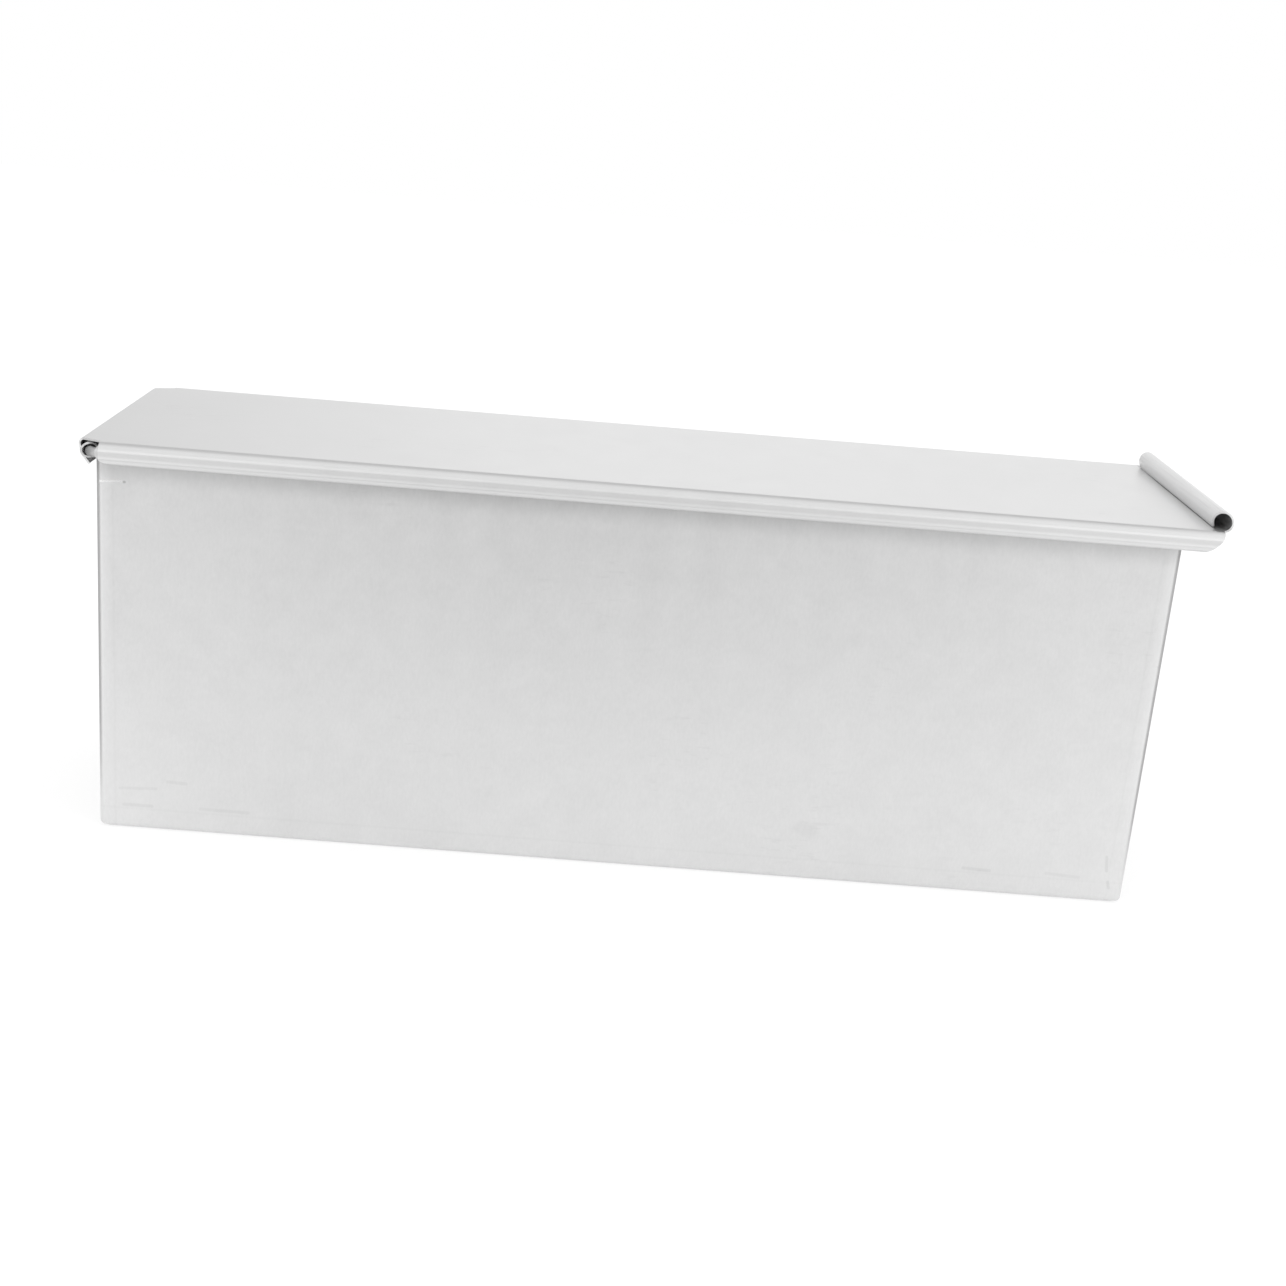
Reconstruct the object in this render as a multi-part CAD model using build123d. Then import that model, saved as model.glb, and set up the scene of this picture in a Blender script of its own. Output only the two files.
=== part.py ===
from build123d import *
from math import acos, atan2, cos, degrees, hypot, radians, sin, sqrt, tan
import os

# A pullman loaf pan with its sliding lid, in millimetres.
# X runs along the pan towards the lid's grip, Y across it and Z up.
# The origin is the centre of the pan's underside.

# Steel sheet and rim wire
sheet = 0.6                    # one thickness for pan and lid
wire_diameter = 3.0
wire_clearance = 0.3           # wire to the inside of the rolled rim
wire_drop = 0.2                # the wire lies low inside the roll
wire_bend_radius = 3.0         # of the wire's axis, at the four corners

# Pan
rim_length = 330.0             # outside of the end walls, level with the rim's axis
rim_width = 110.0              # outside of the long walls, level with the rim's axis
rim_height = 119.9             # underside of the pan to the rim's axis
draft_angle = 1.55             # lean of all four walls, degrees
bend_radius = 2.0              # outside radius of the folds between walls and bottom
hem_gap = 0.4                  # free edge of the roll to the wall
ear_fold_angle = 45.0          # slope of the folded ears' lower edge, degrees
ear_parting = 8.0              # between the two ears on an end wall
flare_height = 5.0             # over which the end walls step out above the ears
flare_land = 1.5               # straight wall between that step and the roll

# Lid
slide_clearance = 0.3          # lid to the rolled rim, above, below and beside
channel_top_radius = 1.6       # inside radius of the fold from the flat top
channel_low_radius = 1.2       # inside radius of the fold to the lip
channel_groove_turn = 10.0     # how far the channel's side leans in to its groove, degrees
lip_length = 1.6               # flat lip under the rolled rim
nose_length = 8.0              # over which the channels' ends are rounded
hook_nose_height = 1.8         # how far up that rounding goes at the hook end
flat_left_inset = 1.6          # from the end roll's axis in to the flat top's hook end
flat_right_reach = 9.2         # from the end roll's axis out to the flat top's grip end

# Hook at the left end
hook_gap = 0.7                 # between the hook and the end of the rolled rim
hook_radius = 1.8              # inside radius of the first fold
hook_turn = 135.0              # from flat to the slanted leg, degrees
hook_leg = 3.5                 # slanted leg below the rim
hook_inset = 1.7               # step from the flat top's side in to the hook's root
hook_trim = 27.0               # slant of the hook's trimmed ends, degrees

# Grip at the right end
grip_radius = 2.4              # inside radius of the curl
grip_turn = 285.0              # degrees
grip_edge_gap = 0.15           # free edge to the top of the lid
grip_inset = 1.0               # step from the flat top's side in to the curl's root
grip_trim = 18.0               # slant of the curl's ends along the rolled-up sheet, degrees
grip_trim_turn = 330.0         # how far round the trimmed region goes, past the free edge, degrees
grip_trim_slices = 11          # straight steps in that region

# Derived sizes
overrun = sheet                # how far a cutter passes through what it cuts
lean = radians(draft_angle)
bore_radius = wire_diameter / 2 + wire_clearance
roll_radius = bore_radius + sheet
roll_offset = bore_radius / cos(lean)
level_sheet = sheet / cos(lean)
ear_thickness = 2 * sheet
level_ears = ear_thickness / cos(lean)
wall_top = rim_height - roll_radius
rim_half_x = rim_length / 2
rim_half_y = rim_width / 2
roll_x = rim_half_x + roll_offset
roll_y = rim_half_y + roll_offset
flat_left = roll_x - flat_left_inset
flat_right = roll_x + flat_right_reach
lid_under = rim_height + roll_radius + slide_clearance
lid_top = lid_under + sheet
lid_middle = lid_under + sheet / 2
channel_depth = 2 * (roll_radius + slide_clearance + sheet)


# Distance that the walls lean in, from the rim's axis down to a height.
def lean_in(height):
    return (rim_height - height) * tan(lean)


# A point moved by a distance in a direction given in degrees.
def step(point, direction, distance):
    angle = radians(direction)
    return (point[0] + distance * cos(angle), point[1] + distance * sin(angle))


# Section of a sheet that follows runs and bends, as a face in the XY plane.
# A run is ("run", length) and a bend ("bend", inside radius, angle), where a positive angle turns left.
def bent_section(start, heading, moves):
    half = sheet / 2
    point = start
    left_side = []
    right_side = []
    first = (step(point, heading + 90, half), step(point, heading - 90, half))
    for move in moves:
        if move[0] == "run":
            end = step(point, heading, move[1])
            sides = []
            for turn in (90, -90):
                sides.append(Line(step(point, heading + turn, half), step(end, heading + turn, half)))
            point = end
        else:
            radius = move[1] + half
            side = 90 if move[2] > 0 else -90
            centre = step(point, heading + side, radius)
            sides = []
            for turn in (90, -90):
                reach = radius - half if turn == side else radius + half
                ends = []
                for share in (0, 0.5, 1):
                    ends.append(step(centre, heading - side + share * move[2], reach))
                sides.append(ThreePointArc(*ends))
            point = step(centre, heading - side + move[2], radius)
            heading += move[2]
        left_side.append(sides[0])
        right_side.append(sides[1])
    last = (step(point, heading + 90, half), step(point, heading - 90, half))
    caps = [Line(*first), Line(*last)]
    return make_face(Curve() + left_side + right_side + caps)


# A prism that stands on a plan outline and reaches past the whole height of the object.
def plan_prism(points):
    outline = make_face(Polyline(*points, close=True))
    return Pos(0, 0, -lid_top) * extrude(outline, 3 * lid_top)


# A block with four leaning sides, its bottom and upright edges rounded.
def leaning_block(half_x, half_y, bottom, top, radius):
    slices = []
    for height in (bottom, top):
        inset = lean_in(height)
        slices.append(Pos(0, 0, height) * Rectangle(2 * (half_x - inset), 2 * (half_y - inset)))
    block = loft(slices, ruled=True)
    return fillet(block.edges() - block.edges().group_by(Axis.Z)[-1], radius)


# The region of the two end walls that the folded ears cover, as prisms along X.
def ear_region():
    reach = rim_half_x + roll_radius
    corner = rim_half_y - lean_in(0)
    parting = ear_parting / 2
    fold_top = (corner - parting) * tan(radians(ear_fold_angle))
    outline = Polyline(
        (corner + bend_radius, -bend_radius * tan(radians(ear_fold_angle))),
        (rim_half_y + bend_radius, wall_top + overrun),
        (parting, wall_top + overrun),
        (parting, fold_top),
        close=True,
    )
    ear = extrude(Plane.YZ * make_face(outline), reach, both=True)
    return ear + mirror(ear, Plane.XZ)


# Folded sheet below the rolled rim: bottom, four walls and the ears on the end walls.
def folded_body():
    plain = leaning_block(rim_half_x - level_ears, rim_half_y, 0, wall_top, bend_radius)
    with_ears = leaning_block(rim_half_x, rim_half_y, 0, wall_top, bend_radius)
    covered = ear_region() + end_steps(rim_half_x - level_ears, ear_parting / 2 + overrun)
    inside_x = rim_half_x - level_ears - level_sheet
    inside_y = rim_half_y - level_sheet
    hollow = leaning_block(inside_x, inside_y, sheet, wall_top + overrun, bend_radius - sheet)
    block = (plain - covered) + (with_ears & covered)
    return block - hollow - end_steps(inside_x, rim_half_y - bend_radius)


# Above the ears the end walls step out by the ears' thickness, to meet the roll.
# These prisms hold what lies inside one face of that stepped sheet.
def end_steps(face_x, half_width):
    land = wall_top - flare_land
    foot = land - flare_height
    top = wall_top + overrun
    root = face_x - lean_in(foot)
    prisms = []
    for side in (1, -1):
        outline = Polyline(
            (side * root, foot),
            (side * (face_x + level_ears - lean_in(land)), land),
            (side * (face_x + level_ears - lean_in(top)), top),
            (side * (root - ear_thickness), top),
            (side * (root - ear_thickness), foot),
            close=True,
        )
        prisms.append(extrude(Plane.XZ * make_face(outline), half_width, both=True))
    return prisms


# Section of the rolled rim, standing on the wall's top: x outwards from the middle, y up.
def roll_section(rim_half):
    root = 2 * roll_radius
    roll_end = degrees(acos((bore_radius - hem_gap) / roll_radius))
    start_height = rim_height + bore_radius * sin(lean) - root * cos(lean)
    start_out = rim_half - (rim_height - start_height) * tan(lean) - sheet / 2 / cos(lean)
    level_start = start_height + sheet / 2 * sin(lean)
    centre_start = (start_out + (level_start - start_height) * tan(lean), level_start)
    wrap = 360 - roll_end - draft_angle
    section = bent_section(centre_start, 90 - draft_angle, [("run", root), ("bend", bore_radius, -wrap)])
    below = Pos(rim_half, wall_top - root) * Rectangle(4 * roll_radius, 2 * root)
    return section - below


# The rolled rim on all four walls, its ends cut slanting so that the wire can turn the corner.
def rolled_rims():
    rims = []
    reach = 2 * roll_radius
    walls = ((rim_half_y, rim_half_x, True), (rim_half_x, rim_half_y, False))
    for rim_half, other_half, on_long_wall in walls:
        plane = Plane.YZ if on_long_wall else Plane.XZ
        across = Plane.XZ if on_long_wall else Plane.YZ
        end = other_half - bend_radius
        roll = extrude(plane * roll_section(rim_half), other_half + reach, both=True)
        outline = []
        for side in (1, -1):
            corners = ((side * end, 0), (side * end, rim_half), (side * (end + reach), rim_half + reach))
            outline += corners if side > 0 else reversed(corners)
        if not on_long_wall:
            outline = [(y, x) for x, y in outline]
        roll = roll & plan_prism(outline)
        rims += [roll, mirror(roll, across)]
    return rims


def make_pan_shell():
    return folded_body() + rolled_rims()


# The closed wire frame inside the rolled rim.
def make_rim_wire():
    height = rim_height - wire_drop
    outline = Pos(0, 0, height) * RectangleRounded(2 * roll_x, 2 * roll_y, wire_bend_radius)
    path = outline.wire()
    profile = Plane(origin=(0, roll_y, height), z_dir=(1, 0, 0)) * Circle(wire_diameter / 2)
    return sweep(profile, path=path)


# Section across the lid: a flat top with a channel at each side, as x across and y up.
def lid_section():
    half = sheet / 2
    top_bend = channel_top_radius + half
    low_bend = channel_low_radius + half
    turn = radians(channel_groove_turn)
    groove_bend = (channel_depth - sheet - (top_bend + low_bend) * (1 + sin(turn))) / (2 * sin(turn))
    groove_depth = (top_bend + groove_bend) * (1 - cos(turn))
    side = roll_y + roll_radius + slide_clearance + groove_depth + sheet
    flat_half = side - sheet - channel_top_radius
    channel_reach = (top_bend + groove_bend) * cos(turn) - (low_bend + groove_bend) * cos(turn)
    lip_start = flat_half + channel_reach - lip_length
    channel = [
        ("run", lip_length),
        ("bend", channel_low_radius, -(90 + channel_groove_turn)),
        ("bend", groove_bend - half, 2 * channel_groove_turn),
        ("bend", channel_top_radius, -(90 + channel_groove_turn)),
    ]
    back = [channel[3], channel[2], channel[1], channel[0]]
    start = (-lip_start, lid_top - channel_depth + half)
    section = bent_section(start, 180, channel + [("run", 2 * flat_half)] + back)
    return section, flat_half


# What is cut off the channels and lips to round their ends. The side is 1 at the grip end.
def nose_cutters(end, side, height, flat_half):
    low = lid_top - channel_depth
    centre = side * (end - nose_length)
    nose = Pos(centre, low + height) * Ellipse(nose_length, height)
    reach = nose_length + overrun
    middle = (centre + side * reach / 2, low + height / 2 - overrun / 2)
    corner = Pos(*middle) * Rectangle(reach, height + overrun)
    outside = corner - nose
    prism = extrude(Plane.XZ * outside, channel_depth)
    beside = [Pos(0, -flat_half, 0) * prism, Pos(0, flat_half + channel_depth, 0) * prism]
    under = outside & (Pos(centre, low) * Rectangle(2 * reach, channel_depth))
    return beside + [extrude(Plane.XZ * under, flat_half, both=True)]


# The hook folds round the end of the rolled rim and stops the lid there.
def hook_tab(flat_half):
    fold_x = -(roll_x + roll_radius + hook_gap - hook_radius)
    fold_z = lid_under - hook_radius
    away = hypot(fold_x + roll_x, fold_z - rim_height)
    seat = roll_radius + slide_clearance
    tangent = degrees(acos((seat - hook_radius) / away) - atan2(fold_z - rim_height, -(fold_x + roll_x)))
    link = sqrt(away ** 2 - (seat - hook_radius) ** 2)
    section = bent_section(
        (-flat_left, lid_middle),
        180,
        [
            ("run", -fold_x - flat_left),
            ("bend", hook_radius, 90 + tangent),
            ("run", link),
            ("bend", seat, hook_turn - 90 - tangent),
            ("run", hook_leg),
        ],
    )
    wide = flat_half - hook_inset
    reach = -fold_x + 2 * hook_radius
    narrow = wide - (reach - flat_left) * tan(radians(hook_trim))
    tip = -flat_left + hook_leg
    outline = [(tip, -wide), (-flat_left, -wide), (-reach, -narrow)]
    outline += [(x, -y) for x, y in reversed(outline)]
    return extrude(Plane.XZ * section, wide, both=True) & plan_prism(outline)


# The region inside the grip's slanting ends, which narrow steadily along the rolled-up sheet.
def grip_region(wide):
    radius = grip_radius + sheet / 2
    depth = grip_radius + 2 * sheet
    centre_z = lid_under + sheet + grip_radius
    slices = []
    for index in range(grip_trim_slices + 1):
        turn = index * grip_trim_turn / grip_trim_slices
        half_width = wide - radius * radians(turn) * tan(radians(grip_trim))
        face = Plane.YZ * Pos(0, -depth / 2 - overrun) * Rectangle(2 * half_width, depth)
        slices.append(Pos(flat_right, 0, centre_z) * Rot(0, -turn, 0) * face)
    return loft(slices, ruled=True)


# The grip is a curl turned up and back until its free edge nears the flat top.
def grip_tab(flat_half):
    radius = grip_radius + sheet / 2
    past = radians(grip_turn - 270)
    drop = radius * (1 - sin(past)) - sheet / 2 - grip_edge_gap - sheet / 2 * sin(past)
    section = bent_section(
        (flat_right, lid_middle),
        0,
        [("bend", grip_radius, grip_turn), ("run", drop / cos(past))],
    )
    curl = extrude(Plane.XZ * section, flat_half, both=True)
    return curl & grip_region(flat_half - grip_inset)


def make_lid():
    section, flat_half = lid_section()
    top = extrude(Plane.YZ * section, flat_left + flat_right)
    top = Pos(-flat_left, 0, 0) * top
    top -= nose_cutters(flat_left, -1, hook_nose_height, flat_half)
    top -= nose_cutters(flat_right, 1, channel_depth, flat_half)
    return top + hook_tab(flat_half) + grip_tab(flat_half)


pieces = {
    "pan_shell": make_pan_shell(),
    "rim_wire": make_rim_wire(),
    "lid": make_lid(),
}
os.makedirs("parts", exist_ok=True)
for name, piece in pieces.items():
    solids = piece.solids()
    print(name, len(solids), "solid", [round(solid.volume) for solid in solids])
    export_step(solids[0] if len(solids) == 1 else Compound(children=solids), f"parts/{name}.step")
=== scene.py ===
import math

import bpy
from mathutils import Matrix, Vector


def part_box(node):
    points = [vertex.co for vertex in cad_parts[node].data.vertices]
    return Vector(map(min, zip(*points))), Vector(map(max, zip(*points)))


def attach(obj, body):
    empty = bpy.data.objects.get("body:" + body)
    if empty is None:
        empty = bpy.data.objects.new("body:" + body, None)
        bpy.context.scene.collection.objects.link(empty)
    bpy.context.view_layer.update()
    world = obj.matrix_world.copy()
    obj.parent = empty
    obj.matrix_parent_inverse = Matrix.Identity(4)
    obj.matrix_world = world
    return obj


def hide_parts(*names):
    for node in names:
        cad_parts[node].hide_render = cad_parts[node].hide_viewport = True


# Pullman loaf pan: everything is in metres, with X along the pan towards the lid's grip,
# Y across it to the back and Z up.
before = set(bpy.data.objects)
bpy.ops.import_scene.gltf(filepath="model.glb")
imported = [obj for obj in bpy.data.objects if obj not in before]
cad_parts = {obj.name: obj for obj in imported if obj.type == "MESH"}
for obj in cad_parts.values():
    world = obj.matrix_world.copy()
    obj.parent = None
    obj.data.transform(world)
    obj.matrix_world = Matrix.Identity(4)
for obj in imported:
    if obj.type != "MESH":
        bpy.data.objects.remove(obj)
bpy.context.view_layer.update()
shellLow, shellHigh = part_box("pan_shell")
lidLow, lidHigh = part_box("lid")
print("frame loaded")

sheet = 0.0006                               # one sheet thickness for pan and lid
rollRadius = 0.0024                          # outside of the rolled rim
nearby = 0.00002                             # two places closer than this are the same
smoothBelow = 40                             # faces that meet flatter than this shade smooth, degrees
rollX = shellHigh.x - rollRadius             # axes of the rolled rim
rollY = shellHigh.y - rollRadius
rollHeight = shellHigh.z - rollRadius


# Selects the vertices, edges or faces whose corners all lie where they are wanted.
def pickParts(piece, kind, wanted):
    if bpy.context.mode != "OBJECT":
        bpy.ops.object.mode_set(mode="OBJECT")
    bpy.ops.object.select_all(action="DESELECT")
    bpy.context.view_layer.objects.active = piece
    piece.select_set(True)
    bpy.ops.object.mode_set(mode="EDIT")
    bpy.ops.mesh.select_mode(type=kind)
    bpy.ops.mesh.select_all(action="DESELECT")
    bpy.ops.object.mode_set(mode="OBJECT")
    mesh = piece.data
    if kind == "VERT":
        for vertex in mesh.vertices:
            vertex.select = wanted(vertex.co)
    else:
        for part in mesh.edges if kind == "EDGE" else mesh.polygons:
            part.select = all(wanted(mesh.vertices[index].co) for index in part.vertices)
    bpy.ops.object.mode_set(mode="EDIT")


# Bends the picked edge on round an axis, by the right-hand rule. The spin turns the other way.
def bendOn(centre, axis, turn, steps):
    bpy.ops.mesh.spin(steps=steps, angle=math.radians(-turn), center=centre, axis=axis)


# Draws the picked edge straight on.
def drawOn(move):
    bpy.ops.mesh.extrude_edges_move(TRANSFORM_OT_translate={"value": move})


def applyModifier(piece, kind, **settings):
    bpy.ops.object.select_all(action="DESELECT")
    bpy.context.view_layer.objects.active = piece
    piece.select_set(True)
    modifier = piece.modifiers.new(kind.lower(), kind)
    for name, value in settings.items():
        setattr(modifier, name, value)
    bpy.ops.object.modifier_apply(modifier=modifier.name)


def endEditing():
    bpy.ops.object.mode_set(mode="OBJECT")


cameraView = {
    "frameSize": 1286,                       # pixels of the photograph, each way
    "focal": 2294,                           # focal length in those pixels
    "film": 36,                              # width of the camera's film, mm
    "nearest": 0.01,                         # nothing closer to the camera is drawn
    "place": (-0.0111, -0.7367, 0.247),
    "pitch": 14.26,                          # degrees down
    "yaw": 1.25,                             # degrees to the right
    "roll": -4.8,                            # degrees, tips the picture
}


def aimCamera(values):
    pitch, yaw, roll = (math.radians(values[name]) for name in ("pitch", "yaw", "roll"))
    forward = Vector((math.sin(yaw) * math.cos(pitch), math.cos(yaw) * math.cos(pitch), -math.sin(pitch)))
    level = Vector((math.cos(yaw), -math.sin(yaw), 0))
    upward = level.cross(forward)
    right = level * math.cos(roll) - upward * math.sin(roll)
    up = level * math.sin(roll) + upward * math.cos(roll)
    data = bpy.data.cameras.new("photoCamera")
    data.sensor_width = values["film"]
    data.lens = values["focal"] / values["frameSize"] * values["film"]
    data.clip_start = values["nearest"]
    camera = bpy.data.objects.new("photoCamera", data)
    bpy.context.scene.collection.objects.link(camera)
    turned = Matrix((right, up, -forward)).transposed()
    camera.matrix_world = Matrix.Translation(values["place"]) @ turned.to_4x4()
    bpy.context.scene.camera = camera


aimCamera(cameraView)
print("camera set")


studio = {
    "background": 1.0,                       # what the camera sees behind the pan
    "sweep": 1.06,                           # white paper behind the pan, as metal sees it
    "sweepLeft": 0.76,                       # its left part
    "ceiling": 0.5,                          # over and behind the pan
    "overhead": 0.63,                        # over the camera's side
    "overheadLift": 0.24,                    # how much lighter that is to the left and right
    "horizon": 0.68,                         # level with the camera
    "horizonLift": 0.75,                     # how much lighter that is to the left and right
    "sweepTop": 0.42,                        # height of the paper's top, as the sine of its elevation
    "sweepFade": 0.14,                       # over which it gives way to the ceiling
    "roomFade": 0.5,                         # over which the back gives way to the front
    "sideSpread": 0.3,                       # sine of the angle at which the sides are lightest
    "aside": 0.42,                           # far to the left and right, as metal sees it
    "asideStart": 0.5,                       # sine of the angle at which that begins
    "asideFull": 0.88,                       # and is complete
    "fill": 0.8,                             # light on matt surfaces from all round
    "fillAbove": 1.15,                       # and from above
    "floorSize": 6.0,
    "floorDrop": 0.00005,
    "floorTint": 0.8,
    "floorLight": 1.12,                      # light that falls on the open floor
    "floorNear": 0.98,                       # the floor beside the pan, as metal sees it
    "floorFar": 0.44,                        # the floor on the camera's side, as metal sees it
    "floorFade": 0.75,                       # distance over which it fades
    "floorSide": 0.32,                       # how much lighter it is to the left and right
    "sideReach": 0.36,                       # distance at which that is reached
    "dimCentre": -0.03,                      # middle of the dim part, along the pan
    "wedgeSlope": 0.55,                      # light wedges of floor start this steeply from the corners
    "wedgeLift": 0.16,                       # and are this much lighter
    "asideSlope": 2.2,                       # beyond this slope the floor is dim
    "asideBlur": 0.09,                       # width of these changes
    "floorGlow": 0.7,                        # the camera sees this much light of the floor's own
    "floorShade": 0.35,                      # and this much that the pan can shade
}
lamps = {
    "overhead": {"place": (0.3, -0.5, 1.5), "aim": (0, 0, 0), "size": (2.4, 1.8), "power": 2.0},
    "side": {"place": (1.4, -0.9, 0.9), "aim": (0, 0, 0.08), "size": (1.2, 1.2), "power": 2.0},
}


def addNode(tree, kind, label=None, **settings):
    node = tree.nodes.new(kind)
    if label:
        node.label = label
    for name, value in settings.items():
        if name in node.inputs:
            node.inputs[name].default_value = value
        else:
            setattr(node, name, value)
    return node


def addMath(tree, operation, first, second=0, third=0, clamp=False):
    node = tree.nodes.new("ShaderNodeMath")
    node.operation = operation
    node.use_clamp = clamp
    for socket, value in zip(node.inputs, (first, second, third)):
        if isinstance(value, (int, float)):
            socket.default_value = value
        else:
            tree.links.new(value, socket)
    return node.outputs[0]


def mixValues(tree, share, low, high):
    node = tree.nodes.new("ShaderNodeMix")
    node.data_type = "FLOAT"
    for socket, value in zip((node.inputs[0], node.inputs[2], node.inputs[3]), (share, low, high)):
        if isinstance(value, (int, float)):
            socket.default_value = value
        else:
            tree.links.new(value, socket)
    return node.outputs[0]


# One value that gives way to another smoothly between two places.
def fadeBetween(tree, place, start, end, before, after):
    fade = addNode(tree, "ShaderNodeMapRange", interpolation_type="SMOOTHSTEP")
    for name, value in (("From Min", start), ("From Max", end), ("To Min", 0), ("To Max", 1)):
        fade.inputs[name].default_value = value
    tree.links.new(place, fade.inputs["Value"])
    return mixValues(tree, fade.outputs[0], before, after)


def lightWorld(values):
    world = bpy.data.worlds.new("studioWorld")
    bpy.context.scene.world = world
    world.use_nodes = True
    tree = world.node_tree
    tree.nodes.clear()
    direction = addNode(tree, "ShaderNodeTexCoord")
    parts = addNode(tree, "ShaderNodeSeparateXYZ")
    tree.links.new(direction.outputs["Generated"], parts.inputs[0])
    low, high = values["sweepTop"] - values["sweepFade"], values["sweepTop"] + values["sweepFade"]
    left, ahead, up = parts.outputs
    paper = fadeBetween(tree, left, -values["sideSpread"], 0, values["sweepLeft"], values["sweep"])
    back = fadeBetween(tree, up, low, high, paper, values["ceiling"])
    aside = addMath(tree, "ABSOLUTE", left)
    lift = fadeBetween(tree, up, low, high, values["horizonLift"], values["overheadLift"])
    lift = fadeBetween(tree, aside, 0, values["sideSpread"], 0, lift)
    front = fadeBetween(tree, up, low, high, values["horizon"], values["overhead"])
    front = addMath(tree, "ADD", front, lift)
    room = fadeBetween(tree, ahead, -values["roomFade"], values["roomFade"], front, back)
    room = fadeBetween(tree, aside, values["asideStart"], values["asideFull"], room, values["aside"])
    path = addNode(tree, "ShaderNodeLightPath")
    soft = fadeBetween(tree, up, 0, 1, values["fill"], values["fillAbove"])
    seen = mixValues(tree, path.outputs["Is Glossy Ray"], soft, room)
    seen = mixValues(tree, path.outputs["Is Camera Ray"], seen, values["background"])
    shine = addNode(tree, "ShaderNodeBackground", Color=(1, 1, 1, 1))
    tree.links.new(seen, shine.inputs["Strength"])
    output = addNode(tree, "ShaderNodeOutputWorld")
    tree.links.new(shine.outputs[0], output.inputs["Surface"])


def layFloor(values):
    bpy.ops.mesh.primitive_plane_add(size=values["floorSize"], location=(0, 0, -values["floorDrop"]))
    floor = bpy.context.object
    floor.name = "floor"
    material = bpy.data.materials.new("paperFloor")
    material.use_nodes = True
    tree = material.node_tree
    tree.nodes.clear()
    path = addNode(tree, "ShaderNodeLightPath")
    place = addNode(tree, "ShaderNodeTexCoord")
    parts = addNode(tree, "ShaderNodeSeparateXYZ")
    tree.links.new(place.outputs["Object"], parts.inputs[0])
    along, across = parts.outputs["X"], parts.outputs["Y"]
    mirrored = fadeBetween(tree, across, -values["floorFade"], 0, values["floorFar"], values["floorNear"])
    aside = addMath(tree, "ABSOLUTE", addMath(tree, "SUBTRACT", along, values["dimCentre"]))
    lighter = fadeBetween(tree, aside, 0, values["sideReach"], 0, values["floorSide"])
    away = fadeBetween(tree, across, -values["floorFade"], 0, 1, 0)
    mirrored = addMath(tree, "ADD", mirrored, addMath(tree, "MULTIPLY", lighter, away))
    beside = addMath(tree, "SUBTRACT", addMath(tree, "ABSOLUTE", along), shellHigh.x)
    before = addMath(tree, "MAXIMUM", addMath(tree, "MULTIPLY_ADD", across, -1, shellLow.y), 0)
    wedge = addMath(tree, "MULTIPLY_ADD", before, -values["wedgeSlope"], beside)
    wedge = fadeBetween(tree, wedge, -values["asideBlur"], values["asideBlur"], 0, values["wedgeLift"])
    mirrored = addMath(tree, "ADD", mirrored, wedge)
    dim = addMath(tree, "MULTIPLY_ADD", before, -values["asideSlope"], beside)
    mirrored = fadeBetween(tree, dim, 0, values["asideBlur"], mirrored, values["aside"])
    mirrored = addMath(tree, "SUBTRACT", mirrored, values["floorShade"] * values["floorLight"])
    glow = addMath(tree, "MULTIPLY", path.outputs["Is Camera Ray"], values["floorGlow"])
    glow = mixValues(tree, path.outputs["Is Glossy Ray"], glow, mirrored)
    paper = addNode(tree, "ShaderNodeBsdfDiffuse")
    shaded = addMath(tree, "MAXIMUM", path.outputs["Is Camera Ray"], path.outputs["Is Glossy Ray"])
    tint = mixValues(tree, shaded, values["floorTint"], values["floorShade"])
    tree.links.new(tint, paper.inputs["Color"])
    light = addNode(tree, "ShaderNodeEmission")
    tree.links.new(glow, light.inputs["Strength"])
    both = addNode(tree, "ShaderNodeAddShader")
    tree.links.new(paper.outputs[0], both.inputs[0])
    tree.links.new(light.outputs[0], both.inputs[1])
    output = addNode(tree, "ShaderNodeOutputMaterial")
    tree.links.new(both.outputs[0], output.inputs["Surface"])
    floor.data.materials.append(material)


def hangLamps(table):
    for name, values in table.items():
        data = bpy.data.lights.new(name, "AREA")
        data.shape = "RECTANGLE"
        data.size, data.size_y = values["size"]
        data.energy = values["power"]
        lamp = bpy.data.objects.new(name, data)
        bpy.context.scene.collection.objects.link(lamp)
        place = Vector(values["place"])
        lamp.location = place
        lamp.rotation_euler = (Vector(values["aim"]) - place).to_track_quat("-Z", "Y").to_euler()


bpy.context.scene.view_settings.view_transform = "Standard"
lightWorld(studio)
layFloor(studio)
hangLamps(lamps)
print("studio lit")


patterns = {
    "grainRoughness": 0.55,                  # of the noise's finer layers
    "grainGain": 4,                          # brings the noise to about -1 to 1
    "streakDetail": 3,
    "streakStart": 0.56,                     # noise values between which a streak fades in
    "streakFull": 0.72,
    "patchDetail": 2,
    "patchEdge": 0.12,                       # softness of a patch's border
    "strokeCore": 0.3,                       # share of a stroke's width at full strength
}


# A shader node group with named inputs and one output.
def newGroup(name, inputs, output):
    tree = bpy.data.node_groups.new(name, "ShaderNodeTree")
    for label, kind, value in inputs:
        socket = tree.interface.new_socket(name=label, in_out="INPUT", socket_type=kind)
        if value is not None:
            socket.default_value = value
    tree.interface.new_socket(name=output, in_out="OUTPUT", socket_type="NodeSocketFloat")
    given = tree.nodes.new("NodeGroupInput")
    result = tree.nodes.new("NodeGroupOutput")
    return tree, given.outputs, result.inputs[output]


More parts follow.
